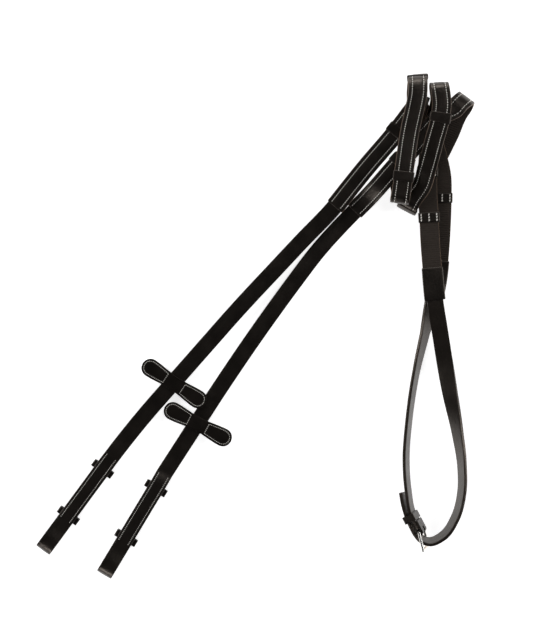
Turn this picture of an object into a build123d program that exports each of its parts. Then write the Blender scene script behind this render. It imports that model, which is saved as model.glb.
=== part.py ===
"""Pair of rubber-lined leather reins, buckled together, laid flat with the grips wound into a coil.

Each rein is one chain of pieces that follows one route: a billet folded round the bit ring and
hooked on a stud, a plain arm that carries a sliding martingale stop, a lined grip with six hand
stops, an end cover and a centre strap.  The two centre straps meet at a small buckle.
+Z is up, the reins rest on Z = 0, and the origin is under the middle of the whole.
"""

import os
from math import asin, cos, degrees, pi, radians, sin

from build123d import *

# Leather and rubber
strap_width = 18.0
grip_width = 20.4
leather_out = 2.2  # from the route up to the grain side, on every leather piece
strap_in = -1.6  # flesh side of the plain straps
grip_lining = 2.0  # rubber below the route
lining_width = grip_width + 0.6
seam_gap = 0.05  # between pieces that are sewn together
free_gap = 0.3  # between pieces that move on each other

# Hook-stud billets
ring_radius = 4.5  # inside of the fold that holds the bit ring
fold_cut = 0.1  # taken off the inside of the fold to make it round
billet_rise = 10.3  # route height of the front of the billet
tip_rise = 3.8  # route height of the tip that returns behind it
tip_length = 118.0
backing_start = 34.0
backing_end = 121.0
backing_thickness = 1.8
keeper_places = {"lower": 47.0, "upper": 110.5}
keeper_length = 8.0
keeper_reach = 4.0  # how far a keeper stands out beside the strap
keeper_wall = 1.5
stud_place = 79.0

# Martingale stops
stop_span = 82.0
stop_lobe = 20.0
stop_waist = 15.0
stop_leather = 1.8
stop_offset = 1.4  # how far the tunnel sits off the middle of the lobes

# Hand stops and covers on the grip
hand_stop_length = 11.0
hand_stop_wall = 1.0
cover_wall = 1.0
cover_length = 34.0

# Buckle that joins the centre straps
bar_radius = 1.5
frame_wire = 1.6
frame_inner = 19.6
frame_reach = 20.0  # hinge bar to far bar
frame_tilt = 15.0  # how far the frame is turned up from the left centre strap
bar_beyond = 3.6  # hinge bar past the end of the left centre strap
chape_leather = 2.0
chape_leg = 8.5
chape_slot = 4.8
tongue_ring = 1.58  # inside radius, a running fit on the hinge bar
tongue_wall = 1.4
tongue_width = 2.6
tongue_radius = 1.3
tongue_length = 22.8
tongue_slot = 14.0  # in the right centre strap
punched_hole = 1.8
hole_pitch = 20.0
buckle_keeper_length = 8.0
buckle_keeper_wall = 1.3
buckle_keeper_back = 14.0  # middle of the keeper before the end of the left centre strap

# Middle of the whole in plan, taken off every place so that the origin lies under it
middle_x = 1.75
middle_y = 1.2

# Where the two arms start (folded end of each billet) and the way they point
billet_start = {"left": (-231.0, -243.5), "right": (-164.0, -270.5)}
billet_heading = {"left": 53.6, "right": 59.0}

# Middle of each martingale stop: x, y, route height, heading of the arm, climb of the arm in degrees,
# and how far the stop is turned from square
stop_place = {
    "left": (-88.1, -60.0, 6.6, 48.6, 0.0, 7.8),
    "right": (-62.3, -104.9, 4.9, 57.1, -2.6, 5.3),
}


def direction(heading, climb=0.0):
    """Unit vector from a compass angle about Z and a climb out of the XY plane."""
    level = cos(radians(climb))
    return Vector(level * cos(radians(heading)), level * sin(radians(heading)), sin(radians(climb)))


def spot(x, y, z=0.0):
    """A place, measured from the middle of the whole."""
    return Vector(x - middle_x, y - middle_y, z)


def station(x, y, z, heading, lean=0.0):
    """A place on a route and the way its width points (to the right of a grain-up strap)."""
    return spot(x, y, z), direction(heading, lean)


def half_turn(x, y, z_from, z_to, outward, width_from, width_to, slip_x=0.0, slip_y=0.0):
    """Fold a strap over a level axis through (x, y), from one height to another, with short leads.

    An open fold slips sideways, so that the strap leaves it that far from where it came.
    """
    lead = 4.0
    middle = (z_from + z_to) / 2
    radius = (z_to - z_from) / 2
    ahead = direction(outward)
    places = [station(x - lead * ahead.X, y - lead * ahead.Y, z_from, width_from)]
    for step in range(5):
        angle = pi * step / 4
        reach = abs(radius) * sin(angle)
        width = width_from + (width_to - width_from) * step / 4
        height = middle - radius * cos(angle)
        slip = step / 4
        places.append(
            station(x + reach * ahead.X + slip_x * slip, y + reach * ahead.Y + slip_y * slip, height, width)
        )
    places.append(station(x - lead * ahead.X + slip_x, y - lead * ahead.Y + slip_y, z_to, width_to))
    return places


# Bit fold: radius of the route round it, height of the route under it, and its centre past the folded end
fold_radius = ring_radius - fold_cut - strap_in
fold_floor = leather_out + 0.2
fold_centre = fold_radius + leather_out


def billet(side):
    """Stations from the tip behind the billet, round the bit ring and up its front."""
    x, y = billet_start[side]
    heading = billet_heading[side]
    ahead = direction(heading)

    def along(distance, height):
        return station(x + ahead.X * distance, y + ahead.Y * distance, height, heading - 90)

    behind = [along(d, tip_rise) for d in (tip_length, 90.0, 60.0, 40.0, 30.0)]
    fold = half_turn(
        x + ahead.X * fold_centre,
        y + ahead.Y * fold_centre,
        fold_floor,
        fold_floor + 2 * fold_radius,
        heading + 180,
        heading - 90,
        heading - 90,
    )
    front = [along(d, billet_rise) for d in (34.0, 44.0, 60.0, 90.0, backing_end)]
    return behind + fold + front


def stop_run(side, distances):
    """Stations on the straight stretch that a martingale stop slides along."""
    x, y, z, heading, climb, _ = stop_place[side]
    ahead = direction(heading, climb)
    return [
        station(x + ahead.X * d, y + ahead.Y * d, z + ahead.Z * d, heading - 90)
        for d in distances
    ]


left_stations = (
    billet("left")
    + stop_run("left", (-36.0, -10.0, 34.0, 74.0, 94.0))
    + [
        station(-11, 27, 6.8, -42.6),
        station(25, 65.5, 7.4, -43),
        station(52, 94.3, 8.6, -42.5),
        station(89, 133, 12.5, -41),
        station(105.7, 153.9, 16.7, -40),
        station(122, 174, 20.4, -39.5),
        station(156, 214, 25.4, -38),
        station(169, 231, 27.4, -36),
    ]
    + half_turn(181, 249.5, 27.8, 19.8, 66, -31, -17)
    + [
        station(174.4, 222, 19.7, -13),
        station(170.3, 204, 17.4, -12),
        station(166.6, 188, 15.8, -11),
        station(162, 168, 15.4, -10, 5),
        station(159.9, 157, 18.5, -9, 20),
    ]
    + half_turn(159.7, 142, 24.2, 34, 261, -9, -6)
    + [station(164, 174, 34, -8), station(170, 214.5, 33, -11), station(176, 242, 33.6, -7)]
    + half_turn(178.6, 260.5, 33.6, 6.6, 88, -2, 14)
    + [
        station(190.5, 222, 8.9, 16),
        station(201, 190, 9, 14),
        station(206.3, 165, 8.9, 6),
        station(206.8, 143, 6, 0),
        station(206, 113, 5, -2),
        station(204, 81, 4.3, -6),
        station(201.3, 55, 4.6, -10, -6),
        station(196.5, 31, 8, -12, -24),
        station(188.1, -5.5, 9.2, -14, -58),
        station(178.8, -46, 9.7, -11, -68),
        station(170.5, -101, 9.8, -6, -71),
        station(167.4, -145, 10.4, 0, -71),
        station(169.6, -178.5, 12.4, 12, -71),
        station(174.6, -203.6, 13.9, 26, -71),
        station(177.9, -209.8, 14.1, 28, -71),
        station(182.1, -217.7, 14.1, 28, -71),
    ]
)

right_stations = (
    billet("right")
    + stop_run("right", (-64.0, -55.0, -20.0, 16.0, 36.0))
    + [
        station(-22.4, -44.1, 4, -34),
        station(0, -11.4, 4, -34.7),
        station(23, 21, 4, -35.5),
        station(46.3, 52.8, 4, -36.5),
        station(70.4, 84.3, 4.3, -38.5),
        station(111, 128.3, 6, -42.5),
        station(124.3, 141.7, 10.8, -43),
        station(136.7, 155.1, 19.6, -43),
        station(150, 170.5, 23.9, -43),
        station(164, 186, 24.4, -43),
        station(188.2, 212.8, 25, -44),
        station(209, 234, 25, -46),
    ]
    + half_turn(223, 243.2, 24.8, 4.2, 53, -44, -28, 6.5, -0.8)
    + [station(214.5, 212, 4.2, -27), station(197.4, 178.4, 4.2, -27)]
    + half_turn(171.2, 136.4, 4.2, 17.8, 241, -28, -28)
    + [
        station(183, 154, 21, -25, 16),
        station(188.8, 174, 27, -20, 4),
        station(196.4, 203.5, 30.4, -15),
        station(203, 228.8, 32.2, -8),
        station(204.6, 244, 32.6, 4),
    ]
    + half_turn(203.2, 257.4, 32.6, 15.3, 98, 10, -5)
    + [
        station(197, 223, 15.3, -7),
        station(190.6, 180, 15.8, -5),
        station(190.2, 152, 13.6, 0),
        station(191.9, 121, 13, 4),
        station(193.3, 91, 14.4, 4),
        station(195.3, 64, 16.8, 6),
        station(198.2, 31, 18.2, 8),
        station(203.5, -2, 16.8, 10, 2),
        station(209, -35, 13, 10, 10),
        station(215.1, -70.5, 10.8, 10, 32),
        station(223, -112, 9.8, 8, 57),
        station(228.2, -150, 9.8, 2, 69),
        station(228, -180.5, 9.9, -8, 71),
        station(221, -207.5, 10.4, -28, 71),
        station(207, -227.5, 12, -52, 71),
        station(192, -233.6, 13, -84, 71),
        station(183.4, -230.2, 12.6, -122, 71),
        station(178.4, -224.2, 12.2, -146, 71),
        station(174.6, -217, 12.1, -152, 71),
        station(169.6, -205.6, 12, -158, 71),
        station(165.6, -192, 11.4, -164, 71),
        station(163.4, -179.6, 10.6, -170, 71),
    ]
)


def smooth(stations, steps):
    """Frames along a smooth curve through the stations: distance, point, width, up and travel."""
    points = [place for place, _ in stations]
    widths = [width for _, width in stations]
    gaps = [(b - a).length for a, b in zip(points, points[1:])]
    slopes = []
    for i in range(len(points)):
        if i == 0:
            slopes.append((points[1] - points[0]) / gaps[0])
        elif i == len(points) - 1:
            slopes.append((points[-1] - points[-2]) / gaps[-1])
        else:
            before = (points[i] - points[i - 1]) / gaps[i - 1]
            after = (points[i + 1] - points[i]) / gaps[i]
            share = gaps[i - 1] / (gaps[i - 1] + gaps[i])
            slopes.append(before * (1 - share) + after * share)

    frames = []
    distance = 0.0
    for i, gap in enumerate(gaps):
        for step in range(steps + (i == len(gaps) - 1)):
            u = step / steps
            start, end = points[i], points[i + 1]
            leave, arrive = slopes[i] * gap, slopes[i + 1] * gap
            place = (
                start * (2 * u**3 - 3 * u**2 + 1)
                + leave * (u**3 - 2 * u**2 + u)
                + end * (3 * u**2 - 2 * u**3)
                + arrive * (u**3 - u**2)
            )
            travel = (
                start * (6 * u**2 - 6 * u)
                + leave * (3 * u**2 - 4 * u + 1)
                + end * (6 * u - 6 * u**2)
                + arrive * (3 * u**2 - 2 * u)
            ).normalized()
            width = widths[i] * (1 - u) + widths[i + 1] * u
            width = (width - travel * width.dot(travel)).normalized()
            if frames:
                distance += (place - frames[-1][1]).length
            frames.append((distance, place, width, width.cross(travel), travel))
    return frames


def frame_at(frames, distance):
    """The frame at a distance along a route, between two of its frames."""
    for before, after in zip(frames, frames[1:]):
        if before[0] <= distance <= after[0]:
            u = (distance - before[0]) / (after[0] - before[0])
            place = before[1] * (1 - u) + after[1] * u
            width = (before[2] * (1 - u) + after[2] * u).normalized()
            travel = (before[4] * (1 - u) + after[4] * u).normalized()
            width = (width - travel * width.dot(travel)).normalized()
            return distance, place, width, width.cross(travel), travel
    raise ValueError("distance is off the route")


def stretch(frames, start, end):
    """The frames of one piece, from one distance to another."""
    closest = 0.4
    inside = [f for f in frames if start + closest < f[0] < end - closest]
    return [frame_at(frames, start)] + inside + [frame_at(frames, end)]


def nearest(frames, x, y, z):
    """Distance of the frame that comes closest to a place."""
    target = spot(x, y, z)
    return min(frames, key=lambda frame: (frame[1] - target).length)[0]


def band(frames, width, low, high):
    """A flat band that follows the frames, between two heights of the route."""
    with BuildPart() as strip:
        for _, place, across, up, travel in frames:
            middle = place + up * ((low + high) / 2)
            with BuildSketch(Plane(origin=middle, x_dir=across, z_dir=travel)):
                Rectangle(width, high - low)
        loft(ruled=True)
    return strip.part


def sleeve(frames, start, end, wall):
    """A band wrapped round the grip, from one distance to another."""
    overrun = 0.5
    outside = band(
        stretch(frames, start, end),
        lining_width + 2 * wall,
        -grip_lining - wall,
        leather_out + wall,
    )
    inside = band(
        stretch(frames, start - overrun, end + overrun),
        lining_width + 2 * seam_gap,
        -grip_lining - seam_gap,
        leather_out + seam_gap,
    )
    with BuildPart() as wrap:
        add(outside)
        add(inside, mode=Mode.SUBTRACT)
    return wrap.part


def stop_outline():
    """Bow-tie outline of a martingale stop, lobes along X."""
    half, lobe, waist = stop_span / 2, stop_lobe / 2, stop_waist / 2
    shoulder = half - lobe
    with BuildSketch() as outline:
        with BuildLine():
            Spline((-shoulder, lobe), (0, waist), (shoulder, lobe), tangents=((1, 0), (1, 0)))
            ThreePointArc((shoulder, lobe), (half, 0), (shoulder, -lobe))
            Spline((shoulder, -lobe), (0, -waist), (-shoulder, -lobe), tangents=((-1, 0), (-1, 0)))
            ThreePointArc((-shoulder, -lobe), (-half, 0), (-shoulder, lobe))
        make_face()
    return outline.sketch


def save(name, piece):
    piece.part.label = name
    export_step(piece.part, f"parts/{name}.step")


os.makedirs("parts", exist_ok=True)

smoothing_steps = 3
routes = {
    "left": smooth(left_stations, smoothing_steps),
    "right": smooth(right_stations, smoothing_steps),
}

# Where each grip starts, where its lining ends, and the middles of its hand stops in order along it
grip_start = {
    "left": nearest(routes["left"], 89, 133, 12.5),
    "right": nearest(routes["right"], 111, 128.3, 6),
}
lining_end = {
    "left": nearest(routes["left"], 203.5, 73, 4.3),
    "right": nearest(routes["right"], 195, 66, 16.6),
}
stop_places = {
    "left": [
        (156, 214, 25.4), (166, 183, 15.8), (164, 168, 34), (178.4, 270, 20), (190, 224, 9), (206.8, 146, 6)
    ],
    "right": [
        (161, 183, 24), (204.5, 228.5, 25), (168, 130.5, 11), (203, 226, 32), (190, 170, 15), (191, 121, 13)
    ],
}
hand_stops = {side: [nearest(routes[side], *place) for place in stop_places[side]] for side in routes}
strap_end = {"left": routes["left"][-1][0], "right": routes["right"][-1][0]}

# Buckle: everything is set out from the end of the left centre strap
_, end_place, hinge_way, strap_up, strap_way = frame_at(routes["left"], strap_end["left"])
strap_middle = (leather_out + strap_in) / 2
strap_half = (leather_out - strap_in) / 2
bar_centre = end_place + strap_up * strap_middle + strap_way * bar_beyond
end_plane = Plane(origin=bar_centre, x_dir=strap_way, z_dir=hinge_way)
fold_inside = strap_half + seam_gap
fold_outside = fold_inside + chape_leather
hinge_line = Axis((0, 0, 0), hinge_way)
frame_way = strap_way.rotate(hinge_line, frame_tilt)
frame_plane = Plane(origin=bar_centre, x_dir=frame_way, z_dir=frame_way.cross(hinge_way))
side_place = frame_inner / 2 + frame_wire
tongue_lift = degrees(asin((frame_wire + tongue_radius + free_gap) / frame_reach))
tongue_way = frame_way.rotate(hinge_line, tongue_lift)
tongue_place = bar_centre + tongue_way * (frame_reach / 2)
tongue_crossing = min(routes["right"], key=lambda frame: (frame[1] - tongue_place).length)[0]

for side, frames in routes.items():
    ahead = direction(billet_heading[side])
    fold_end = spot(*billet_start[side])
    across = direction(billet_heading[side] - 90)

    # Arm: tip, bit fold, billet front and plain strap up to the grip, with the slot for the stud
    stud_spot = fold_end + ahead * stud_place
    arm_frames = stretch(frames, 0.0, grip_start[side] - seam_gap)
    arm_band = band(arm_frames, strap_width, strap_in, leather_out)
    with BuildPart() as arm:
        add(arm_band)
        with BuildSketch(Plane(origin=stud_spot, x_dir=ahead, z_dir=(0, 0, 1))):
            SlotCenterToCenter(5.0, 5.0)
        extrude(amount=tip_rise - strap_in + 0.5, mode=Mode.SUBTRACT)
        ring_middle = fold_end + ahead * fold_centre + Vector(0, 0, fold_floor + fold_radius)
        with BuildSketch(Plane(origin=ring_middle, x_dir=ahead, z_dir=across)):
            Circle(ring_radius)
        extrude(amount=strap_width, both=True, mode=Mode.SUBTRACT)
    save(f"{side}_arm_strap", arm)

    # Backing sewn behind the billet front, with a hole for the stud
    backing_top = billet_rise + strap_in - keeper_wall + 0.2
    backing_middle = (backing_start + backing_end) / 2
    backing_length = backing_end - backing_start
    with BuildPart() as backing:
        with BuildSketch(
            Plane(
                origin=fold_end + ahead * backing_middle + Vector(0, 0, backing_top),
                x_dir=ahead,
                z_dir=(0, 0, -1),
            )
        ):
            Rectangle(backing_length, strap_width)
            with Locations((stud_place - backing_middle, 0)):
                Circle(2.3, mode=Mode.SUBTRACT)
        extrude(amount=backing_thickness - 0.05)
    save(f"{side}_billet_backing", backing)

    # Hook stud: a base under the front leather, a neck through the backing and the tip, and a hook
    base_top = billet_rise + strap_in - seam_gap
    hook_bottom = 0.15
    hook_thickness = 1.35
    with BuildPart() as stud:
        with BuildSketch(Plane(origin=stud_spot + Vector(0, 0, base_top), z_dir=(0, 0, -1))):
            Circle(4.5)
        extrude(amount=base_top - backing_top - seam_gap)
        with BuildSketch(Plane(origin=stud_spot + Vector(0, 0, hook_bottom), z_dir=(0, 0, 1))):
            Circle(1.9)
        extrude(amount=base_top - hook_bottom - 0.2)
        with BuildSketch(
            Plane(
                origin=stud_spot + ahead * 2.5 + Vector(0, 0, hook_bottom),
                x_dir=ahead,
                z_dir=(0, 0, 1),
            )
        ):
            SlotOverall(12.0, 5.4)
        extrude(amount=hook_thickness)
    save(f"{side}_hook_stud", stud)

    # Keepers: flat loops round the tip and the backing, standing out beside the billet
    keeper_top = billet_rise + strap_in - seam_gap
    for place_name, place in keeper_places.items():
        keeper_spot = fold_end + ahead * place
        with BuildPart() as keeper:
            with BuildSketch(
                Plane(
                    origin=keeper_spot + Vector(0, 0, keeper_top / 2) - ahead * (keeper_length / 2),
                    x_dir=across,
                    z_dir=ahead,
                )
            ):
                RectangleRounded(strap_width + 2 * keeper_reach, keeper_top, 1.4)
                inner_bottom = keeper_wall
                inner_top = backing_top + seam_gap
                with Locations((0, keeper_top / 2 - (inner_bottom + inner_top) / 2)):
                    Rectangle(
                        strap_width + 2 * keeper_reach - 2 * keeper_wall,
                        inner_top - inner_bottom,
                        mode=Mode.SUBTRACT,
                    )
            extrude(amount=keeper_length)
        save(f"{side}_{place_name}_keeper", keeper)

    # Martingale stop: a flat front leather over the arm and a back leather that passes under it
    x, y, z, heading, climb, skew = stop_place[side]
    run = direction(heading, climb)
    level = direction(heading - 90)
    upright = level.cross(run)
    stop_axis = level * cos(radians(skew)) + run * sin(radians(skew))
    centre = spot(x, y, z)
    front_bottom = leather_out + free_gap
    back_top = strap_in - free_gap
    half_tunnel = strap_width / 2 / cos(radians(skew)) + 1.6
    ramp = front_bottom - back_top
    lobe_low = front_bottom - seam_gap - stop_leather
    plan = Plane(origin=centre + upright * back_top, x_dir=stop_axis, z_dir=upright)

    outline = stop_outline()
    shift = Location((stop_offset, 0, 0))
    with BuildPart() as stop_front:
        with BuildSketch(plan.offset(front_bottom - back_top)):
            add(outline.moved(shift))
        extrude(amount=stop_leather)
    save(f"{side}_stop_front", stop_front)

    with BuildPart() as stop_back:
        side_plane = Plane(origin=centre, x_dir=stop_axis, z_dir=stop_axis.cross(upright))
        with BuildSketch(side_plane):
            with BuildLine():
                half = stop_span / 2
                Polyline(
                    (-half, lobe_low),
                    (-half_tunnel - ramp, lobe_low),
                    (-half_tunnel - 0.4, back_top - stop_leather),
                    (half_tunnel + 0.4, back_top - stop_leather),
                    (half_tunnel + ramp, lobe_low),
                    (half, lobe_low),
                    (half, lobe_low + stop_leather),
                    (half_tunnel + ramp - 0.8, lobe_low + stop_leather),
                    (half_tunnel - 0.4, back_top),
                    (-half_tunnel + 0.4, back_top),
                    (-half_tunnel - ramp + 0.8, lobe_low + stop_leather),
                    (-half, lobe_low + stop_leather),
                    close=True,
                )
            make_face()
        extrude(amount=stop_lobe, both=True)
        with BuildSketch(plan.offset(-10)):
            add(outline.moved(shift))
        extrude(amount=30, mode=Mode.INTERSECT)
    save(f"{side}_stop_back", stop_back)

    # Grip: leather outside, rubber lining inside
    grip_frames = stretch(frames, grip_start[side], lining_end[side])
    grip_band = band(grip_frames, grip_width, seam_gap / 2, leather_out)
    with BuildPart() as grip:
        add(grip_band)
    save(f"{side}_grip_leather", grip)

    lining_band = band(grip_frames, lining_width, -grip_lining, -seam_gap / 2)
    with BuildPart() as lining:
        add(lining_band)
    save(f"{side}_grip_rubber", lining)

    # Hand stops: leather bands wrapped round the grip
    for number, place in enumerate(hand_stops[side], start=1):
        reach = hand_stop_length / 2
        wrap = sleeve(frames, place - reach, place + reach, hand_stop_wall)
        with BuildPart() as hand_stop:
            add(wrap)
        save(f"{side}_hand_stop_{number}", hand_stop)

    # Cover sewn over the end of the grip, and the centre strap inside it
    end = lining_end[side]
    wrap = sleeve(frames, end - 2.0, end + cover_length, cover_wall)
    with BuildPart() as cover:
        add(wrap)
    save(f"{side}_grip_cover", cover)

    centre_frames = stretch(frames, end + seam_gap, strap_end[side])
    centre_band = band(centre_frames, strap_width, strap_in, leather_out)
    with BuildPart() as centre_strap:
        add(centre_band)
        if side == "right":
            _, place, _, up, travel = frame_at(frames, tongue_crossing)
            with BuildSketch(Plane(origin=place, x_dir=travel, z_dir=up)):
                SlotOverall(tongue_slot, 2 * tongue_radius + 2.4)
            extrude(amount=leather_out + 2.0, both=True, mode=Mode.SUBTRACT)
            for step in (-1, 1, 2):
                _, place, _, up, travel = frame_at(frames, tongue_crossing + step * hole_pitch)
                with BuildSketch(Plane(origin=place, x_dir=travel, z_dir=up)):
                    Circle(punched_hole)
                extrude(amount=leather_out + 1.0, both=True, mode=Mode.SUBTRACT)
    save(f"{side}_centre_strap", centre_strap)
    print(side, "rein", round(strap_end[side]), "mm from tip to end, grip from",
          round(grip_start[side]), "to", round(lining_end[side]))
    print(side, "hand stops", [round(d) for d in hand_stops[side]])

# Buckle
with BuildPart() as chape:
    with BuildSketch(end_plane.offset(-strap_width / 2)):
        Circle(fold_outside)
        with Locations((-(bar_beyond + chape_leg) / 2, 0)):
            Rectangle(bar_beyond + chape_leg, 2 * fold_outside)
        Circle(fold_inside, mode=Mode.SUBTRACT)
        with Locations((-(bar_beyond + chape_leg) / 2, 0)):
            Rectangle(bar_beyond + chape_leg, 2 * fold_inside, mode=Mode.SUBTRACT)
    extrude(amount=strap_width)
    with BuildSketch(end_plane.offset(-chape_slot / 2)):
        with Locations((chape_slot / 4, 0)):
            Rectangle(2 * fold_outside + 1.5, 2 * fold_outside + 1.0)
    extrude(amount=chape_slot, mode=Mode.SUBTRACT)
save("buckle_chape", chape)

with BuildPart() as buckle_frame:
    with BuildLine(frame_plane):
        loop_path = Polyline(
            (0, -side_place), (frame_reach, -side_place), (frame_reach, side_place), (0, side_place)
        )
    with BuildSketch(Plane(origin=frame_plane.from_local_coords((0, -side_place, 0)), z_dir=frame_way)):
        Circle(frame_wire)
    sweep(path=loop_path, transition=Transition.RIGHT)
    with BuildSketch(Plane(origin=bar_centre, z_dir=hinge_way).offset(-side_place)):
        Circle(bar_radius)
    extrude(amount=2 * side_place)
save("buckle_frame", buckle_frame)

with BuildPart() as tongue:
    with BuildSketch(Plane(origin=bar_centre, z_dir=hinge_way).offset(-tongue_width / 2)):
        Circle(tongue_ring + tongue_wall)
        Circle(tongue_ring, mode=Mode.SUBTRACT)
    extrude(amount=tongue_width)
    arm_from = tongue_ring + tongue_wall / 2
    with BuildSketch(Plane(origin=bar_centre + tongue_way * arm_from, z_dir=tongue_way)):
        Circle(tongue_radius)
    extrude(amount=tongue_length - arm_from)
save("buckle_tongue", tongue)

# Keeper that holds the end of the right centre strap against the left one
_, keeper_place, keeper_across, keeper_up, keeper_way = frame_at(
    routes["left"], strap_end["left"] - buckle_keeper_back
)
inner_low = strap_in - 2 * free_gap
inner_high = 8.7
inner_width = strap_width + 1.6
with BuildPart() as buckle_keeper:
    with BuildSketch(
        Plane(
            origin=keeper_place + keeper_up * ((inner_low + inner_high) / 2),
            x_dir=keeper_across,
            z_dir=keeper_way,
        ).offset(-buckle_keeper_length / 2)
    ):
        RectangleRounded(
            inner_width + 2 * buckle_keeper_wall,
            inner_high - inner_low + 2 * buckle_keeper_wall,
            1.2,
        )
        Rectangle(inner_width, inner_high - inner_low, mode=Mode.SUBTRACT)
    extrude(amount=buckle_keeper_length)
save("buckle_keeper", buckle_keeper)

print("buckle bar at", [round(c, 2) for c in bar_centre], "along", [round(c, 4) for c in hinge_way])
print("tongue crosses the right rein at", round(tongue_crossing))
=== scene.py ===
from math import cos, hypot, pi, radians, sin

import bpy
import numpy as np
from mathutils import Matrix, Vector


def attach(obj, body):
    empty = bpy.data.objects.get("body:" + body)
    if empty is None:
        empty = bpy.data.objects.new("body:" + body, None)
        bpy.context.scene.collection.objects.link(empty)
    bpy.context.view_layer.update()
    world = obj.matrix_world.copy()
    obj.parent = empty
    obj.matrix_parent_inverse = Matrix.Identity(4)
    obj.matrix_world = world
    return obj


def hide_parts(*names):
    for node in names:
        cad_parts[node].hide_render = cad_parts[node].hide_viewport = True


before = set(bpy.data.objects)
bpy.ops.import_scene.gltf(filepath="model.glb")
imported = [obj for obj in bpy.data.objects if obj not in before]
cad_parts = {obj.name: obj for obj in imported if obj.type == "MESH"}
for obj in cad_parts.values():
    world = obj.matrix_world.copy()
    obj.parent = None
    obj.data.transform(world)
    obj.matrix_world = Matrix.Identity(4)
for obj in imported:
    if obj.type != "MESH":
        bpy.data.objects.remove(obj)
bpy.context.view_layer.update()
mm = 0.001

# Camera straight above the reins
view = {"x": 0.01255, "y": 0.0076, "height": 2.4, "tall": 0.704, "sensor": 36.0, "sight": 20}  # metres
cameraData = bpy.data.cameras.new("overhead camera")
cameraData.type = "PERSP"
cameraData.sensor_width = view["sensor"]
cameraData.lens = view["sensor"] * view["height"] / view["tall"]
cameraData.clip_end = view["sight"]
camera = bpy.data.objects.new("overhead camera", cameraData)
camera.location = (view["x"], view["y"], view["height"])
bpy.context.scene.collection.objects.link(camera)
bpy.context.scene.camera = camera
bpy.context.scene.view_settings.view_transform = "Standard"
print("stage: frame and camera")

# The two routes, in millimetres. A route lies between leather and rubber, and gives for each distance
# from the billet's tip a place, the way across, the way up out of the grain side and the way along.
leather = {"width": 18.0, "top": 2.2, "bottom": -1.6, "gripWidth": 20.4, "lining": 2.0}
ringRadius = 4.5  # bit ring that the billet's fold takes
ringGap = 0.1
billetRise = 10.3  # height of the billet's front
tipRise = 3.8  # height of the tip behind it
tipLength = 118.0
backingEnd = 121.0
layerGap = 0.2  # between the tip and the floor
middle = {"x": 1.75, "y": 1.2}  # centre of the whole object, moved to the origin
billetStart = {"left": (-231.0, -243.5), "right": (-164.0, -270.5)}
billetHeading = {"left": 53.6, "right": 59.0}
stopPlace = {
    "left": {"x": -88.1, "y": -60.0, "z": 6.6, "heading": 48.6, "climb": 0.0, "skew": 7.8},
    "right": {"x": -62.3, "y": -104.9, "z": 4.9, "heading": 57.1, "climb": -2.6, "skew": 5.3},
}


def direction(heading, climb=0.0):
    level = cos(radians(climb))
    return Vector((level * cos(radians(heading)), level * sin(radians(heading)), sin(radians(climb))))


def station(x, y, z, heading, lean=0.0):
    return Vector((x - middle["x"], y - middle["y"], z)), direction(heading, lean)


def halfTurn(x, y, zFrom, zTo, outward, widthFrom, widthTo, slipX=0.0, slipY=0.0):
    # A fold of the strap back over or under itself, reaching out from x, y
    lead = 4.0
    parts = 4
    radius = (zTo - zFrom) / 2
    ahead = direction(outward)
    places = [station(x - lead * ahead.x, y - lead * ahead.y, zFrom, widthFrom)]
    for step in range(parts + 1):
        share = step / parts
        angle = pi * share
        reach = abs(radius) * sin(angle)
        width = widthFrom + (widthTo - widthFrom) * share
        height = (zFrom + zTo) / 2 - radius * cos(angle)
        places.append(station(x + reach * ahead.x + slipX * share, y + reach * ahead.y + slipY * share,
                              height, width))
    places.append(station(x - lead * ahead.x + slipX, y - lead * ahead.y + slipY, zTo, widthTo))
    return places


def billet(side):
    x, y = billetStart[side]
    heading = billetHeading[side]
    ahead = direction(heading)
    radius = ringRadius - ringGap - leather["bottom"]
    turnCentre = radius + leather["top"]
    floorHeight = leather["top"] + layerGap

    def along(distance, height):
        return station(x + ahead.x * distance, y + ahead.y * distance, height, heading - 90)

    behind = [along(d, tipRise) for d in (tipLength, 90.0, 60.0, 40.0, 30.0)]
    fold = halfTurn(
        x + ahead.x * turnCentre, y + ahead.y * turnCentre,
        floorHeight, floorHeight + 2 * radius, heading + 180, heading - 90, heading - 90,
    )
    front = [along(d, billetRise) for d in (34.0, 44.0, 60.0, 90.0, backingEnd)]
    return behind + fold + front


def stopRun(side, distances):
    # The straight stretch of arm that a martingale stop slides on
    stop = stopPlace[side]
    ahead = direction(stop["heading"], stop["climb"])
    return [
        station(stop["x"] + ahead.x * d, stop["y"] + ahead.y * d, stop["z"] + ahead.z * d,
                stop["heading"] - 90)
        for d in distances
    ]


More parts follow.
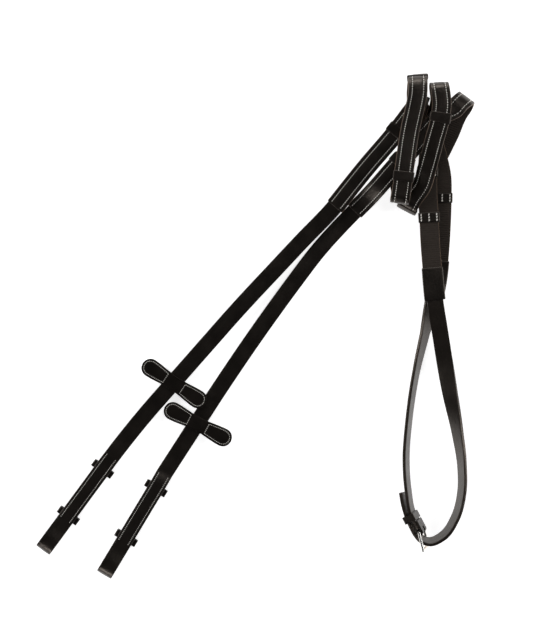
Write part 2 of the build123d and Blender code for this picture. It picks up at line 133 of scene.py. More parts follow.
leftStations = (
    billet("left")
    + stopRun("left", (-36.0, -10.0, 34.0, 74.0, 94.0))
    + [
        station(-11, 27, 6.8, -42.6),
        station(25, 65.5, 7.4, -43),
        station(52, 94.3, 8.6, -42.5),
        station(89, 133, 12.5, -41),
        station(105.7, 153.9, 16.7, -40),
        station(122, 174, 20.4, -39.5),
        station(156, 214, 25.4, -38),
        station(169, 231, 27.4, -36),
    ]
    + halfTurn(181, 249.5, 27.8, 19.8, 66, -31, -17)
    + [
        station(174.4, 222, 19.7, -13),
        station(170.3, 204, 17.4, -12),
        station(166.6, 188, 15.8, -11),
        station(162, 168, 15.4, -10, 5),
        station(159.9, 157, 18.5, -9, 20),
    ]
    + halfTurn(159.7, 142, 24.2, 34, 261, -9, -6)
    + [station(164, 174, 34, -8), station(170, 214.5, 33, -11), station(176, 242, 33.6, -7)]
    + halfTurn(178.6, 260.5, 33.6, 6.6, 88, -2, 14)
    + [
        station(190.5, 222, 8.9, 16),
        station(201, 190, 9, 14),
        station(206.3, 165, 8.9, 6),
        station(206.8, 143, 6, 0),
        station(206, 113, 5, -2),
        station(204, 81, 4.3, -6),
        station(201.3, 55, 4.6, -10, -6),
        station(196.5, 31, 8, -12, -24),
        station(188.1, -5.5, 9.2, -14, -58),
        station(178.8, -46, 9.7, -11, -68),
        station(170.5, -101, 9.8, -6, -71),
        station(167.4, -145, 10.4, 0, -71),
        station(169.6, -178.5, 12.4, 12, -71),
        station(174.6, -203.6, 13.9, 26, -71),
        station(177.9, -209.8, 14.1, 28, -71),
        station(182.1, -217.7, 14.1, 28, -71),
    ]
)

rightStations = (
    billet("right")
    + stopRun("right", (-64.0, -55.0, -20.0, 16.0, 36.0))
    + [
        station(-22.4, -44.1, 4, -34),
        station(0, -11.4, 4, -34.7),
        station(23, 21, 4, -35.5),
        station(46.3, 52.8, 4, -36.5),
        station(70.4, 84.3, 4.3, -38.5),
        station(111, 128.3, 6, -42.5),
        station(124.3, 141.7, 10.8, -43),
        station(136.7, 155.1, 19.6, -43),
        station(150, 170.5, 23.9, -43),
        station(164, 186, 24.4, -43),
        station(188.2, 212.8, 25, -44),
        station(209, 234, 25, -46),
    ]
    + halfTurn(223, 243.2, 24.8, 4.2, 53, -44, -28, 6.5, -0.8)
    + [station(214.5, 212, 4.2, -27), station(197.4, 178.4, 4.2, -27)]
    + halfTurn(171.2, 136.4, 4.2, 17.8, 241, -28, -28)
    + [
        station(183, 154, 21, -25, 16),
        station(188.8, 174, 27, -20, 4),
        station(196.4, 203.5, 30.4, -15),
        station(203, 228.8, 32.2, -8),
        station(204.6, 244, 32.6, 4),
    ]
    + halfTurn(203.2, 257.4, 32.6, 15.3, 98, 10, -5)
    + [
        station(197, 223, 15.3, -7),
        station(190.6, 180, 15.8, -5),
        station(190.2, 152, 13.6, 0),
        station(191.9, 121, 13, 4),
        station(193.3, 91, 14.4, 4),
        station(195.3, 64, 16.8, 6),
        station(198.2, 31, 18.2, 8),
        station(203.5, -2, 16.8, 10, 2),
        station(209, -35, 13, 10, 10),
        station(215.1, -70.5, 10.8, 10, 32),
        station(223, -112, 9.8, 8, 57),
        station(228.2, -150, 9.8, 2, 69),
        station(228, -180.5, 9.9, -8, 71),
        station(221, -207.5, 10.4, -28, 71),
        station(207, -227.5, 12, -52, 71),
        station(192, -233.6, 13, -84, 71),
        station(183.4, -230.2, 12.6, -122, 71),
        station(178.4, -224.2, 12.2, -146, 71),
        station(174.6, -217, 12.1, -152, 71),
        station(169.6, -205.6, 12, -158, 71),
        station(165.6, -192, 11.4, -164, 71),
        station(163.4, -179.6, 10.6, -170, 71),
    ]
)


class Route:
    # A smooth curve through the stations; distances are measured in short straight steps
    def __init__(self, stations, steps=3):
        self.points = [place for place, across in stations]
        self.across = [across for place, across in stations]
        self.gaps = [(b - a).length for a, b in zip(self.points, self.points[1:])]
        self.slopes = [self.slope(i) for i in range(len(self.points))]
        self.turns = [i + step / steps for i in range(len(self.gaps)) for step in range(steps)]
        self.turns.append(float(len(self.gaps)))
        self.places = [self.curve(turn)[0] for turn in self.turns]
        self.distances = [0.0]
        for a, b in zip(self.places, self.places[1:]):
            self.distances.append(self.distances[-1] + (b - a).length)
        self.length = self.distances[-1]

    def slope(self, i):
        points, gaps = self.points, self.gaps
        if i == 0:
            return (points[1] - points[0]) / gaps[0]
        if i == len(gaps):
            return (points[-1] - points[-2]) / gaps[-1]
        before = (points[i] - points[i - 1]) / gaps[i - 1]
        after = (points[i + 1] - points[i]) / gaps[i]
        share = gaps[i - 1] / (gaps[i - 1] + gaps[i])
        return before * (1 - share) + after * share

    def curve(self, turn):
        i = min(int(turn), len(self.gaps) - 1)
        u = turn - i
        start, end = self.points[i], self.points[i + 1]
        leave, arrive = self.slopes[i] * self.gaps[i], self.slopes[i + 1] * self.gaps[i]
        place = (
            start * (2 * u**3 - 3 * u**2 + 1) + leave * (u**3 - 2 * u**2 + u)
            + end * (3 * u**2 - 2 * u**3) + arrive * (u**3 - u**2)
        )
        travel = (
            start * (6 * u**2 - 6 * u) + leave * (3 * u**2 - 4 * u + 1)
            + end * (6 * u - 6 * u**2) + arrive * (3 * u**2 - 2 * u)
        ).normalized()
        across = self.across[i] * (1 - u) + self.across[i + 1] * u
        across = (across - travel * across.dot(travel)).normalized()
        return place, across, across.cross(travel), travel

    def at(self, distance):
        return self.curve(float(np.interp(distance, self.distances, self.turns)))

    def nearest(self, x, y, z):
        # Distance along the route at which it comes nearest to a place
        aim = Vector((x - middle["x"], y - middle["y"], z))
        return min(zip(self.distances, self.places), key=lambda one: (one[1] - aim).length)[0]


sides = ("left", "right")
routes = {"left": Route(leftStations), "right": Route(rightStations)}
# Where the grips begin and end, and the places of the hand stops from the arm to the centre
gripStart = {
    "left": routes["left"].nearest(89, 133, 12.5),
    "right": routes["right"].nearest(111, 128.3, 6),
}
gripEnd = {
    "left": routes["left"].nearest(203.5, 73, 4.3),
    "right": routes["right"].nearest(195, 66, 16.6),
}
handStopPlaces = {
    "left": [
        (156, 214, 25.4), (166, 183, 15.8), (164, 168, 34), (178.4, 270, 20), (190, 224, 9), (206.8, 146, 6)
    ],
    "right": [
        (161, 183, 24), (204.5, 228.5, 25), (168, 130.5, 11), (203, 226, 32), (190, 170, 15), (191, 121, 13)
    ],
}
handStops = {side: [routes[side].nearest(*place) for place in handStopPlaces[side]] for side in sides}
print("stage: routes", {side: round(routes[side].length) for side in sides})


class Wire:
    # One socket of a material, so that shader maths reads as plain expressions
    def __init__(self, tree, socket):
        self.tree = tree
        self.socket = socket

    def maths(self, operation, *others):
        node = self.tree.nodes.new("ShaderNodeMath")
        node.operation = operation
        for slot, value in zip(node.inputs, others):
            if isinstance(value, Wire):
                self.tree.links.new(value.socket, slot)
            else:
                slot.default_value = value
        return Wire(self.tree, node.outputs[0])

    def __add__(self, other):
        return self.maths("ADD", self, other)

    def __radd__(self, other):
        return self.maths("ADD", other, self)

    def __mul__(self, other):
        return self.maths("MULTIPLY", self, other)

    def __rmul__(self, other):
        return self.maths("MULTIPLY", other, self)

    def __gt__(self, other):
        return self.maths("GREATER_THAN", self, other)

    def __lt__(self, other):
        return self.maths("LESS_THAN", self, other)

    def __abs__(self):
        return self.maths("ABSOLUTE", self)


class Finish:
    # A material being mixed: its tree, its surface shader and one way to add any node
    def __init__(self, name, base, roughness, metallic=0.0):
        self.material = bpy.data.materials.new(name)
        self.material.use_nodes = True
        self.tree = self.material.node_tree
        self.surface = self.tree.nodes["Principled BSDF"]
        self.surface.inputs["Base Color"].default_value = (*base, 1)
        self.surface.inputs["Roughness"].default_value = roughness
        self.surface.inputs["Metallic"].default_value = metallic
        self.surface.inputs["Specular Tint"].default_value = (*sheenTint, 1)
        self.material.diffuse_color = (*base, 1)

    def node(self, kind, settings=None, inputs=None, output=0):
        node = self.tree.nodes.new(kind)
        for name, value in (settings or {}).items():
            setattr(node, name, value)
        for name, value in (inputs or {}).items():
            if isinstance(value, Wire):
                self.tree.links.new(value.socket, node.inputs[name])
            else:
                node.inputs[name].default_value = value
        return Wire(self.tree, node.outputs[output])

    def feed(self, name, wire):
        self.tree.links.new(wire.socket, self.surface.inputs[name])

    def mix(self, share, a, b):
        # Sockets 6 and 7 of a Mix node are its two colours, and output 2 the colour
        def colour(value):
            return value if isinstance(value, Wire) else (*value, 1)
        return self.node("ShaderNodeMix", {"data_type": "RGBA"}, {0: share, 6: colour(a), 7: colour(b)}, 2)

    def noise(self, where, scale, detail=2.0):
        return self.node("ShaderNodeTexNoise", inputs={"Vector": where, "Scale": scale, "Detail": detail})

    def bump(self, height, strength, distance):
        bumped = self.node("ShaderNodeBump", inputs={
            "Height": height, "Strength": strength, "Distance": distance})
        self.feed("Normal", bumped)


sheenTint = (1.0, 0.87, 0.76)
leatherLook = {
    "grain": (0.0010, 0.0007, 0.0005), "worn": (0.0042, 0.0029, 0.0022), "flesh": (0.0065, 0.0050, 0.0038),
    "edge": (0.007, 0.0045, 0.0030), "fleshDepth": 0.12, "edgeWidth": 0.35, "edgeDepth": 0.5, "shine": 0.62,
    "roughness": 0.30, "smoothest": 0.23, "spread": 0.20, "poreScale": 800, "poreDepth": 0.0005,
    "poreStrength": 0.5, "poreDetail": 3.0, "blotchScale": 60.0, "blotchShare": 0.6,
}
nowhere = 9.0  # a level, in millimetres, past every wrapped piece
farAcross = 99.0


def strapLeather(name, low, high, halfWidth, looks=leatherLook):
    # Leather whose flesh side and cut edges show, told apart by place on the straight strap
    finish = Finish(name, looks["grain"], looks["roughness"])
    place = finish.node("ShaderNodeAttribute", {"attribute_name": "strap"}, output=1)
    across = finish.node("ShaderNodeSeparateXYZ", inputs={"Vector": place}, output=0)
    level = finish.node("ShaderNodeSeparateXYZ", inputs={"Vector": place}, output=2)
    flesh = level < (low + looks["fleshDepth"]) * mm
    side = abs(across) > (halfWidth - looks["edgeWidth"]) * mm
    edge = side * (level < (high - looks["edgeDepth"]) * mm)
    colour = leatherGrain(finish, place, looks)
    colour = finish.mix(edge, colour, looks["edge"])
    finish.feed("Base Color", finish.mix(flesh, colour, looks["flesh"]))
    finish.surface.inputs["Specular IOR Level"].default_value = looks["shine"]
    return finish.material


def plainLeather(name, looks=leatherLook):
    finish = Finish(name, looks["grain"], looks["roughness"])
    place = finish.node("ShaderNodeTexCoord", output=3)
    finish.feed("Base Color", leatherGrain(finish, place, looks))
    return finish.material


def leatherGrain(finish, place, looks):
    # Pores and blotches, with the gloss that goes with them; gives back the colour
    pores = finish.noise(place, looks["poreScale"], looks["poreDetail"])
    blotches = finish.noise(place, looks["blotchScale"], looks["poreDetail"])
    finish.feed("Roughness", looks["smoothest"] + looks["spread"] * blotches)
    finish.bump(pores + looks["blotchShare"] * blotches, looks["poreStrength"], looks["poreDepth"])
    return finish.mix(blotches, looks["grain"], looks["worn"])


# The rubber's edge colour is light brown partly for its cut edge and partly as a painted highlight, the
# catch light along the rim
rubberLook = {
    "face": (0.0080, 0.0054, 0.0042), "dusty": (0.021, 0.0155, 0.0122), "edge": (0.150, 0.098, 0.066),
    "edgeWidth": 0.3, "roughness": 0.75, "speckScale": 900.0, "cloudScale": 90.0, "detail": 3.0,
    "bumpStrength": 0.6, "bumpDepth": 0.00015,
}


def liningRubber(name, halfWidth, looks=rubberLook):
    finish = Finish(name, looks["face"], looks["roughness"])
    place = finish.node("ShaderNodeAttribute", {"attribute_name": "strap"}, output=1)
    across = finish.node("ShaderNodeSeparateXYZ", inputs={"Vector": place}, output=0)
    specks = finish.noise(place, looks["speckScale"], looks["detail"])
    cloudy = finish.noise(place, looks["cloudScale"], looks["detail"])
    # The rim that shows past the leather gets a painted highlight: light brown for the catch light along
    # the edge, over the cut edge's own brown
    edge = abs(across) > (halfWidth - looks["edgeWidth"]) * mm
    colour = finish.mix(0.5 * specks + 0.5 * cloudy, looks["face"], looks["dusty"])
    finish.feed("Base Color", finish.mix(edge, colour, looks["edge"]))
    finish.bump(specks, looks["bumpStrength"], looks["bumpDepth"])
    return finish.material


threadLook = {"plain": (0.80, 0.78, 0.72), "dull": (0.70, 0.67, 0.61), "bright": (0.90, 0.88, 0.83),
              "roughness": 0.6, "scale": 400.0}


def waxedThread(name, looks=threadLook):
    finish = Finish(name, looks["plain"], looks["roughness"])
    place = finish.node("ShaderNodeTexCoord", output=3)
    waxed = finish.noise(place, looks["scale"])
    finish.feed("Base Color", finish.mix(waxed, looks["dull"], looks["bright"]))
    return finish.material


metalLook = {"scale": 250.0, "smoother": 0.05, "spread": 0.12}


def buckleMetal(name, base, roughness, looks=metalLook):
    finish = Finish(name, base, roughness, 1.0)
    place = finish.node("ShaderNodeTexCoord", output=3)
    rubbed = finish.noise(place, looks["scale"])
    finish.feed("Roughness", roughness - looks["smoother"] + looks["spread"] * rubbed)
    return finish.material


liningWidth = leather["gripWidth"] + 0.6  # the rubber shows a little past the leather
materials = {
    "arm": strapLeather("black strap leather", leather["bottom"], leather["top"], leather["width"] / 2),
    "grip": strapLeather("black grip leather", -nowhere, leather["top"], leather["gripWidth"] / 2),
    "wrap": strapLeather("black wrap leather", -nowhere, nowhere, farAcross),
    "plain": plainLeather("black leather"),
    "rubber": liningRubber("brown grip rubber", liningWidth / 2),
    "thread": waxedThread("waxed linen thread"),
    "silver": buckleMetal("plated buckle metal", (0.82, 0.81, 0.78), 0.22),
    "brass": buckleMetal("stud metal", (0.62, 0.58, 0.50), 0.35),
}
print("stage: materials")


def clearSelection():
    # Back to object mode with nothing selected, before anything new is added
    if bpy.context.object and bpy.context.object.mode != "OBJECT":
        bpy.ops.object.mode_set(mode="OBJECT")
    bpy.ops.object.select_all(action="DESELECT")


def applyAll(piece):
    bpy.context.view_layer.objects.active = piece
    for modifier in list(piece.modifiers):
        bpy.ops.object.modifier_apply(modifier=modifier.name)


def corners(piece):
    # Every point of a mesh, one row each
    flat = np.empty(len(piece.data.vertices) * 3)
    piece.data.vertices.foreach_get("co", flat)
    return flat.reshape(-1, 3)


def markStrap(piece):
    # Keeps where each point was on the straight strap, for the leather's grain and edges
    attribute = piece.data.attributes.new("strap", "FLOAT_VECTOR", "POINT")
    attribute.data.foreach_set("vector", corners(piece).ravel())


def layAlong(piece, route):
    # Carries a piece made straight (x across, y along, z up, in metres) onto its route
    markStrap(piece)
    flat = corners(piece) / mm
    stops, which = np.unique(np.round(flat[:, 1], 3), return_inverse=True)
    frames = np.array([[tuple(v) for v in route.at(d)] for d in np.clip(stops, 0, route.length)])
    place, across, up, travel = (frames[which, i] for i in range(4))
    beyond = flat[:, 1] - np.clip(flat[:, 1], 0, route.length)
    laid = place + across * flat[:, :1] + up * flat[:, 2:] + travel * beyond[:, None]
    piece.data.vertices.foreach_set("co", (laid * mm).ravel())
    piece.data.update()


smoothUnder = radians(50)


def finishPiece(piece, look, body, replaced=()):
    piece.data.materials.clear()
    piece.data.materials.append(materials[look])
    clearSelection()
    piece.select_set(True)
    bpy.context.view_layer.objects.active = piece
    bpy.ops.object.shade_smooth_by_angle(angle=smoothUnder)
    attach(piece, body)
    if replaced:
        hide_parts(*replaced)


def straightBand(name, start, end, width, low, high, step, rounding, crown=0.0, cells=8, seams=None):
    # A length of leather or rubber, still straight; crown lowers its upper face towards the edges
    clearSelection()
    count = max(2, round((end - start) / step))
    bpy.ops.mesh.primitive_grid_add(x_subdivisions=cells, y_subdivisions=count, size=1)
    band = bpy.context.object
    band.name = name
    band.data.name = name
    band.scale = (width * mm, (end - start) * mm, 1)
    band.location = (0, (start + end) / 2 * mm, high * mm)
    bpy.ops.object.transform_apply(location=True, rotation=True, scale=True)
    thick = band.modifiers.new("thickness", "SOLIDIFY")
    thick.thickness = (high - low) * mm
    thick.offset = -1
    rounded = band.modifiers.new("rounded edges", "BEVEL")
    rounded.width = rounding * mm
    rounded.segments = 3
    rounded.limit_method = "ANGLE"
    rounded.angle_limit = radians(40)
    applyAll(band)
    if crown:
        flat = corners(band)
        upper = flat[:, 2] > (low + high) / 2 * mm
        across = np.abs(flat[upper, 0]) / mm
        drop = crown * (across / (width / 2)) ** 3
        if seams:  # the leather is drawn down along its rows of stitches
            drop = drop + seams["drawn"] * np.exp(-((across - seams["row"]) / seams["reach"]) ** 2)
        flat[upper, 2] -= drop * mm
        band.data.vertices.foreach_set("co", flat.ravel())
    return band


def repeatPiece(piece, name, stepBy, count):
    # Copies at even steps, which are given in millimetres
    repeat = piece.modifiers.new(name, "ARRAY")
    repeat.use_relative_offset = False
    repeat.use_constant_offset = True
    repeat.constant_offset_displace = [value * mm for value in stepBy]
    repeat.count = count


stitch = {"length": 1.8, "width": 0.9, "height": 0.5, "slant": 10.0, "gripPitch": 2.5, "sewnPitch": 2.05,
          "fine": 0.78}


def stitchRows(name, start, end, places, height, pitch, size=1.0):
    # One stitch, repeated along a row and across the rows
    clearSelection()
    bpy.ops.mesh.primitive_uv_sphere_add(segments=8, ring_count=5, radius=0.5)
    row = bpy.context.object
    row.name = name
    row.data.name = name
    row.rotation_euler = (0, 0, radians(stitch["slant"]))
    row.scale = (stitch["width"] * size * mm, stitch["length"] * size * mm, stitch["height"] * size * mm)
    row.location = (places[0] * mm, (start + pitch / 2) * mm, height * mm)
    bpy.ops.object.transform_apply(location=True, rotation=True, scale=True)
    repeatPiece(row, "stitches", (0, pitch, 0), max(1, int((end - start) / pitch)))
    if len(places) > 1:
        repeatPiece(row, "rows", (places[1] - places[0], 0, 0), len(places))
    applyAll(row)
    return row


# Arms: plain strap from the billet's tip to the grip
plainStrap = {"step": 2.5, "endStep": 2.0, "rounding": 0.55, "crown": 0.25, "joint": 0.05}
billetSeam = {"rows": (-5.8, 5.8), "from": 43.0, "to": 130.0, "sunk": 0.08, "foldFront": 8.4}

for side in sides:
    route = routes[side]
    arm = straightBand(side + "_rein_arm", 0.0, gripStart[side] - plainStrap["joint"], leather["width"],
                       leather["bottom"], leather["top"], plainStrap["step"], plainStrap["rounding"],
                       plainStrap["crown"])
    layAlong(arm, route)
    finishPiece(arm, "arm", "reins", [side + "_arm_strap"])
    foldAt = route.nearest(*billetStart[side], billetSeam["foldFront"])
    rows = stitchRows(side + "_billet_stitching", foldAt + billetSeam["from"], foldAt + billetSeam["to"],
                      billetSeam["rows"], leather["top"] - billetSeam["sunk"], stitch["sewnPitch"],
                      stitch["fine"])
    layAlong(rows, route)
    finishPiece(rows, "thread", "reins")
print("stage: arms")

# Grips: stitched leather outside, ribbed rubber inside
ribs = {"pitch": 2.4, "width": 17.5, "along": 1.3, "height": 0.8, "inset": 1.5}
seams = {"row": 6.1, "reach": 1.3, "drawn": 0.32, "sunk": 0.30, "inset": 2.0}
gripCut = {"step": 2.0, "rounding": 0.5, "crown": 0.35, "cells": 22, "gap": 0.03}
rubberCut = {"step": 2.0, "rounding": 0.3, "underRibs": 0.25}


def ribRow(name, start, end):
    # One rib across the rubber, repeated along it
    clearSelection()
    bpy.ops.mesh.primitive_cylinder_add(vertices=8, radius=0.5, depth=1, rotation=(0, pi / 2, 0))
    rib = bpy.context.object
    rib.name = name
    rib.data.name = name
    bpy.ops.object.transform_apply(location=True, rotation=True, scale=True)
    rib.scale = (ribs["width"] * mm, ribs["along"] * mm, ribs["height"] * mm)
    rib.location = (0, start * mm, (ribs["height"] / 2 - leather["lining"]) * mm)
    bpy.ops.object.transform_apply(location=True, rotation=True, scale=True)
    repeatPiece(rib, "ribs", (0, ribs["pitch"], 0), int((end - start) / ribs["pitch"]))
    applyAll(rib)
    return rib


for side in sides:
    start, end, route = gripStart[side], gripEnd[side], routes[side]
    grip = straightBand(side + "_stitched_grip", start, end, leather["gripWidth"], gripCut["gap"],
                        leather["top"], gripCut["step"], gripCut["rounding"], gripCut["crown"],
                        gripCut["cells"], seams)
    layAlong(grip, route)
    finishPiece(grip, "grip", "reins", [side + "_grip_leather"])
    lining = straightBand(side + "_rubber_lining", start, end, liningWidth,
                          rubberCut["underRibs"] - leather["lining"], -gripCut["gap"],
                          rubberCut["step"], rubberCut["rounding"])
    layAlong(lining, route)
    finishPiece(lining, "rubber", "reins", [side + "_grip_rubber"])
    row = ribRow(side + "_rubber_ribs", start + ribs["inset"], end - ribs["inset"])
    layAlong(row, route)
    finishPiece(row, "rubber", "reins")
    rows = stitchRows(side + "_grip_stitching", start + seams["inset"], end - seams["inset"],
                      (-seams["row"], seams["row"]), leather["top"] - seams["sunk"], stitch["gripPitch"])
    layAlong(rows, route)
    finishPiece(rows, "thread", "reins")
print("stage: grips")

# Hand stops, end covers and the centre straps
handStop = {"length": 11.0, "wall": 1.0, "step": 1.2, "rounding": 0.8, "crown": 0.45, "cells": 14}
handSeam = {"from": 4.6, "to": 4.8, "rows": (-8.5, 0.0, 8.5), "sunk": 0.1, "pitch": 3.1, "size": 1.6}
endCover = {"length": 34.0, "lap": 2.0, "wall": 1.0, "step": 2.0, "rounding": 0.9, "crown": 0.3}

for side in sides:
    route = routes[side]
    for number, distance in enumerate(handStops[side], start=1):
        reach = handStop["length"] / 2
        low = -leather["lining"] - handStop["wall"]
        stop = straightBand(f"{side}_leather_band_{number}", distance - reach, distance + reach,
                            liningWidth + 2 * handStop["wall"], low, leather["top"] + handStop["wall"],
                            handStop["step"], handStop["rounding"], handStop["crown"], handStop["cells"])
        layAlong(stop, route)
        finishPiece(stop, "wrap", "reins", [f"{side}_hand_stop_{number}"])
        rows = stitchRows(f"{side}_hand_stop_{number}_seam", distance - handSeam["from"],
                          distance + handSeam["to"], handSeam["rows"], low + handSeam["sunk"],
                          handSeam["pitch"], handSeam["size"])
        layAlong(rows, route)
        finishPiece(rows, "thread", "reins")
    end = gripEnd[side]
    cover = straightBand(side + "_end_cover", end - endCover["lap"], end + endCover["length"],
                         liningWidth + 2 * endCover["wall"], -leather["lining"] - endCover["wall"],
                         leather["top"] + endCover["wall"], endCover["step"], endCover["rounding"],
                         endCover["crown"])
    layAlong(cover, route)
    finishPiece(cover, "wrap", "reins", [side + "_grip_cover"])
    strap = straightBand(side + "_rein_end", end + plainStrap["joint"], route.length, leather["width"],
                         leather["bottom"], leather["top"], plainStrap["endStep"], plainStrap["rounding"],
                         plainStrap["crown"])
    layAlong(strap, route)
    finishPiece(strap, "arm", "reins", [side + "_centre_strap"])
print("stage: hand stops, covers and centre straps")

# Martingale stops: two bow-tie leathers sewn together either side of the arm
stopCut = {"span": 82.0, "lobe": 20.0, "waist": 15.0, "thick": 1.8, "shift": 1.4, "gap": 0.3,
           "shoulder": 31.0, "ramp": 4.4, "clear": 1.6, "pinch": 0.05, "rounding": 0.4,
           "cellsAlong": 64, "cellsAcross": 10, "bunch": 0.25}
stopSeam = {"inset": 2.6, "near": 11.0, "pitch": 2.0, "sunk": 0.06, "waistPoints": 13, "sidePoints": 60}


def halfDepth(x):
    # Half the depth of the bow-tie at a distance from its waist
    half, lobe = stopCut["span"] / 2, stopCut["lobe"] / 2
    least = 0.4  # square of what is left at the very tip
    x = abs(x)
    if x < stopCut["shoulder"]:
        u = x / stopCut["shoulder"]
        return stopCut["waist"] / 2 + (lobe - stopCut["waist"] / 2) * (3 * u * u - 2 * u**3)
    if x < half - lobe:
        return lobe
    return max(least, (lobe**2 - (x - half + lobe) ** 2)) ** 0.5


def stopLayer(name, heightAt, thick):
    # One bow-tie leather; heightAt gives the height of its top along its length
    clearSelection()
    bpy.ops.mesh.primitive_grid_add(x_subdivisions=stopCut["cellsAlong"],
                                    y_subdivisions=stopCut["cellsAcross"], size=2)
    layer = bpy.context.object
    layer.name = name
    layer.data.name = name
    flat = corners(layer)
    bunch = stopCut["bunch"]  # more of the cells go near the round tips
    along = np.sin(flat[:, 0] * pi / 2) * bunch + flat[:, 0] * (1 - bunch)
    across = np.array([halfDepth(x * stopCut["span"] / 2) for x in along])
    flat[:, 0] = along * stopCut["span"] / 2
    flat[:, 1] *= across
    flat[:, 2] = [heightAt(x) for x in flat[:, 0]]
    layer.data.vertices.foreach_set("co", (flat * mm).ravel())
    layer.data.update()
    skin = layer.modifiers.new("thickness", "SOLIDIFY")
    skin.thickness = thick * mm
    skin.offset = -1
    rounded = layer.modifiers.new("rounded edges", "BEVEL")
    rounded.width = stopCut["rounding"] * mm
    rounded.segments = 2
    rounded.limit_method = "ANGLE"
    rounded.angle_limit = radians(50)
    applyAll(layer)
    return layer


def stopFrame(side):
    # Centre of a stop, its long axis, the way along the arm and the way up
    stop = stopPlace[side]
    run = direction(stop["heading"], stop["climb"])
    level = direction(stop["heading"] - 90)
    upright = level.cross(run)
    axis = level * cos(radians(stop["skew"])) + run * sin(radians(stop["skew"]))
    centre = Vector((stop["x"] - middle["x"], stop["y"] - middle["y"], stop["z"]))
    return centre, axis, upright.cross(axis), upright


def layOnStop(piece, side, shift):
    # Carries a piece made flat (x along the stop, z up) to its place on the arm
    markStrap(piece)
    centre, axis, depth, upright = stopFrame(side)
    flat = corners(piece) / mm
    flat[:, 0] += shift
    laid = (np.array(centre) + flat[:, :1] * np.array(axis) + flat[:, 1:2] * np.array(depth)
            + flat[:, 2:] * np.array(upright))
    piece.data.vertices.foreach_set("co", (laid * mm).ravel())
    piece.data.update()


def seamDepth(x):
    # Half the depth of a lobe's seam, which runs inside the edge and has its own round end
    inset = stopSeam["inset"]
    if x < stopCut["shoulder"]:
        return max(0.0, halfDepth(x) - inset)
    return max(0.0, (stopCut["lobe"] / 2 - inset) ** 2 - (x - stopCut["shoulder"]) ** 2) ** 0.5


def lobeOutline():
    # Closed seam of one lobe: down the waist side, round the tip and back
    near, far = stopSeam["near"], stopCut["span"] / 2 - stopSeam["inset"]
    waist = [(near, y) for y in np.linspace(seamDepth(near), -seamDepth(near), stopSeam["waistPoints"])]
    xs = near + (far - near) * np.sin(np.linspace(0, pi / 2, stopSeam["sidePoints"]))
    lower = [(x, -seamDepth(x)) for x in xs]
    upper = [(x, -y) for x, y in reversed(lower)]
    return waist + lower[1:] + upper[1:-1] + [waist[0]]


def outlineStitches(name, outline, height, pitch=stopSeam["pitch"]):
    # A straight row of stitches, then each one carried to its place on the outline
    lengths = [0.0]
    for a, b in zip(outline, outline[1:]):
        lengths.append(lengths[-1] + hypot(b[0] - a[0], b[1] - a[1]))
    count = int(lengths[-1] / pitch)
    row = stitchRows(name, 0.0, count * pitch + 0.01, (0.0,), 0.0, pitch, stitch["fine"])
    flat = corners(row) / mm
    which = np.clip(np.floor(flat[:, 1] / pitch), 0, count - 1)
    centres = (which + 0.5) * pitch
    scaled = centres * lengths[-1] / (count * pitch)
    xs, ys = zip(*outline)
    px, py = np.interp(scaled, lengths, xs), np.interp(scaled, lengths, ys)
    nearby = 0.3  # the outline's way at a stitch is taken over this distance either side
    ahead = np.interp(scaled + nearby, lengths, xs) - np.interp(scaled - nearby, lengths, xs)
    aside = np.interp(scaled + nearby, lengths, ys) - np.interp(scaled - nearby, lengths, ys)
    size = np.maximum(np.hypot(ahead, aside), 1e-6)
    ahead, aside = ahead / size, aside / size
    along = flat[:, 1] - centres
    flat[:, 1] = py + along * aside - flat[:, 0] * ahead
    flat[:, 0] = px + along * ahead + flat[:, 0] * aside
    flat[:, 2] += height
    row.data.vertices.foreach_set("co", (flat * mm).ravel())
    return row


frontBottom = leather["top"] + stopCut["gap"]
backTop = leather["bottom"] - stopCut["gap"]
lobeLow = frontBottom - stopCut["pinch"] - stopCut["thick"]

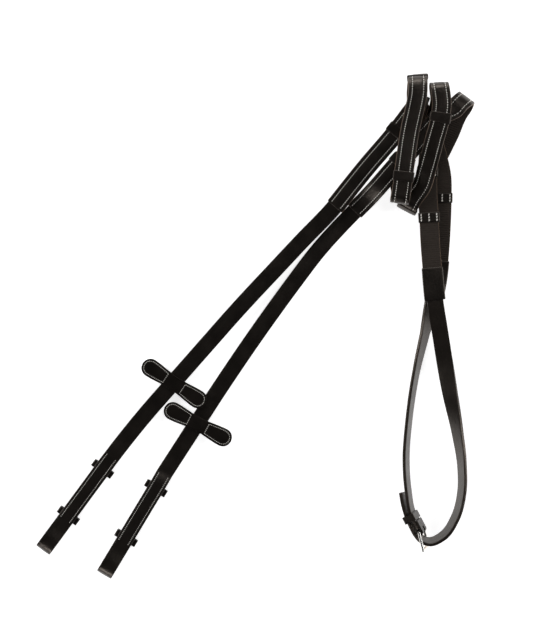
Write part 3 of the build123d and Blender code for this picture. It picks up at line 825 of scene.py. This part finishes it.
for side in sides:
    halfTunnel = leather["width"] / 2 / cos(radians(stopPlace[side]["skew"])) + stopCut["clear"]

    def backHeight(x):
        u = min(1.0, max(0.0, (abs(x + stopCut["shift"]) - halfTunnel) / stopCut["ramp"]))
        return backTop + (lobeLow + stopCut["thick"] - backTop) * (3 * u * u - 2 * u**3)

    front = stopLayer(side + "_martingale_stop_front", lambda x: frontBottom + stopCut["thick"],
                      stopCut["thick"])
    layOnStop(front, side, stopCut["shift"])
    finishPiece(front, "plain", side + "_stop", [side + "_stop_front"])
    back = stopLayer(side + "_martingale_stop_back", backHeight, stopCut["thick"])
    layOnStop(back, side, stopCut["shift"])
    finishPiece(back, "plain", side + "_stop", [side + "_stop_back"])
    for way in (1, -1):
        outline = [(x * way, y) for x, y in lobeOutline()]
        label = "inner" if way > 0 else "outer"
        rows = outlineStitches(f"{side}_martingale_stop_{label}_stitching", outline,
                               frontBottom + stopCut["thick"] - stopSeam["sunk"])
        layOnStop(rows, side, stopCut["shift"])
        finishPiece(rows, "thread", side + "_stop")
print("stage: martingale stops")

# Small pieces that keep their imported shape: keepers, backings, studs and the buckle
for node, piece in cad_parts.items():
    if piece.hide_render:
        continue
    look = "plain"
    if node in ("buckle_frame", "buckle_tongue"):
        look = "silver"
    elif "stud" in node:
        look = "brass"
    piece.data.materials.clear()
    piece.data.materials.append(materials[look])
print("stage: keepers, studs and buckle")

# Floor and lights
paper = {"base": (0.90, 0.90, 0.90), "roughness": 0.9, "glow": 0.78, "size": 12, "level": -0.0005}
floorLook = Finish("pale paper", paper["base"], paper["roughness"])
floorLook.surface.inputs["Emission Color"].default_value = (1, 1, 1, 1)
floorLook.surface.inputs["Emission Strength"].default_value = paper["glow"]
clearSelection()
bpy.ops.mesh.primitive_plane_add(size=paper["size"], location=(0, 0, paper["level"]))
floor = bpy.context.object
floor.name = "floor"
floor.data.materials.append(floorLook.material)

lamps = {
    "left": {"place": (-1.9, 0.9, 1.3), "power": 24, "size": 0.9},
    "right": {"place": (2.0, 0.2, 1.0), "power": 19, "size": 0.9},
    "back": {"place": (0.1, 2.2, 1.0), "power": 18, "size": 1.0},
    "front": {"place": (-1.1, -2.0, 1.2), "power": 18, "size": 0.8},
    "top": {"place": (0.9, 1.1, 2.3), "power": 3, "size": 0.45},
}
for name, lamp in lamps.items():
    light = bpy.data.lights.new(name + " softbox", "AREA")
    light.energy = lamp["power"]
    light.size = lamp["size"]
    holder = bpy.data.objects.new(name + " softbox", light)
    holder.location = lamp["place"]
    holder.rotation_euler = (-Vector(lamp["place"])).to_track_quat("-Z", "Y").to_euler()
    bpy.context.scene.collection.objects.link(holder)
studio = {"colour": (0.90, 0.93, 1.0), "strength": 0.05}
world = bpy.data.worlds.new("studio")
world.use_nodes = True
world.node_tree.nodes["Background"].inputs["Color"].default_value = (*studio["colour"], 1)
world.node_tree.nodes["Background"].inputs["Strength"].default_value = studio["strength"]
bpy.context.scene.world = world
print("stage: floor and lights")
